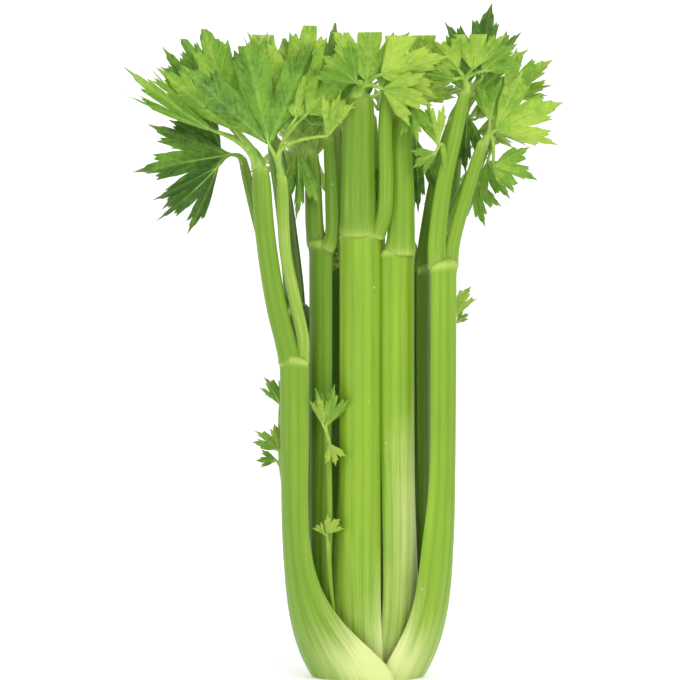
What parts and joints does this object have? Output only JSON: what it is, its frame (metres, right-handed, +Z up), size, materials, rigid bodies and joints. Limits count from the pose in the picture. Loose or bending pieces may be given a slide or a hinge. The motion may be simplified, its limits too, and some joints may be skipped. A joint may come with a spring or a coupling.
{
  "type": "head of celery",
  "caption": "Head of celery that stands on its cut base: ribbed stalks rise round a short crown, fork at pale joints and carry toothed green leaves trimmed level on top.",
  "frame": {"origin": "centre of the cut face that the head stands on", "axes": "+Z up along the stalks, -Y towards the front of the head, +X to its right"},
  "size_m": [0.2194, 0.1586, 0.3377],
  "materials": {
    "stalk": "satin, ribbed, waxy skin",
    "heart_stalk": "satin, pale young skin",
    "leaf": "soft satin, veined",
    "young_leaf": "soft satin, veined",
    "crown": "fresh-cut, moist"
  },
  "bodies": {
    "root": {"crown": "crown", "shoot_front_left": "stalk", "leaf_shoot_front_left": "young_leaf", "shoot_front_low": "stalk", "leaf_shoot_front_low": "young_leaf", "shoot_left": "stalk", "leaf_shoot_left": "young_leaf", "shoot_right": "stalk", "leaf_shoot_right": "young_leaf", "stalk_outer_front_left": "stalk", "leaf_outer_front_left_a": "leaf", "leaf_outer_front_left_b": "leaf", "stalk_outer_front_right": "stalk", "leaf_outer_front_right_a": "leaf", "leaf_outer_front_right_b": "leaf", "leaf_outer_front_right_c": "leaf", "stalk_outer_back_right": "stalk", "leaf_outer_back_right_middle": "leaf", "leaf_outer_back_right_right": "leaf", "stalk_outer_back": "stalk", "leaf_outer_back_middle": "leaf", "leaf_outer_back_right": "leaf", "stalk_outer_back_left": "stalk", "leaf_outer_back_left_a": "leaf", "leaf_outer_back_left_b": "leaf", "stalk_middle_front": "stalk", "leaf_middle_front_a": "leaf", "stalk_middle_front_right": "stalk", "leaf_middle_front_right_a": "leaf", "stalk_middle_right": "stalk", "leaf_middle_right_a": "leaf", "leaf_middle_right_b": "leaf", "stalk_middle_back_right": "stalk", "leaf_middle_back_right_middle": "leaf", "stalk_middle_back_left": "stalk", "leaf_middle_back_left_middle": "leaf", "stalk_middle_left": "stalk", "leaf_middle_left_a": "leaf", "leaf_middle_left_b": "leaf", "stalk_heart_front": "heart_stalk", "leaf_heart_front_middle": "young_leaf", "stalk_heart_back": "heart_stalk", "leaf_heart_back_middle": "young_leaf", "stalk_heart_left": "heart_stalk", "leaf_heart_left_middle": "young_leaf"}
  },
  "joints": []
}
